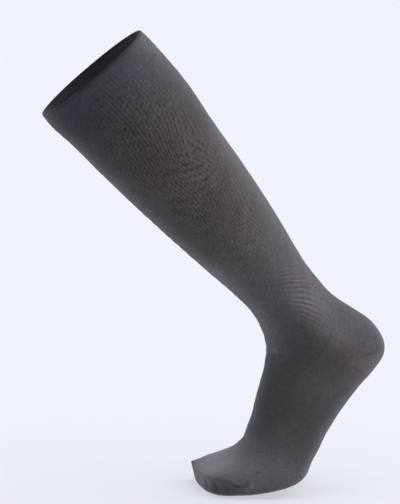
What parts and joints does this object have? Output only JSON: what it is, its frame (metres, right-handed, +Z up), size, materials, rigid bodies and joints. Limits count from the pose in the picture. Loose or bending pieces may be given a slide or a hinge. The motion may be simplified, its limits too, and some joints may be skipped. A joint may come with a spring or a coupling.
{
  "type": "compression stocking",
  "caption": "Closed-toe knee-high compression stocking in fine charcoal knit, filled out as worn with the heel raised, open at the top and hollow.",
  "frame": {"origin": "the middle of the open top edge, where the wearer's leg comes out", "axes": "+Z up as worn, the leg runs down and towards +X, the toes point to -X, the little toe is on the -Y side; the ball and toes lie 415 mm below the origin"},
  "size_m": [0.3324, 0.1082, 0.4538],
  "materials": {
    "band_knit": "doubled fine knit, charcoal, soft",
    "leg_knit": "fine ribbed compression knit, charcoal, faint velvety sheen",
    "heel_knit": "denser spliced knit, charcoal, courses in short rows",
    "foot_knit": "fine compression knit, charcoal, smooth",
    "toe_knit": "denser spliced knit, charcoal, linked across the toes"
  },
  "bodies": {
    "root": {"top_band": "band_knit", "leg": "leg_knit", "heel_pocket": "heel_knit", "foot": "foot_knit", "toe_cap": "toe_knit"}
  },
  "joints": []
}
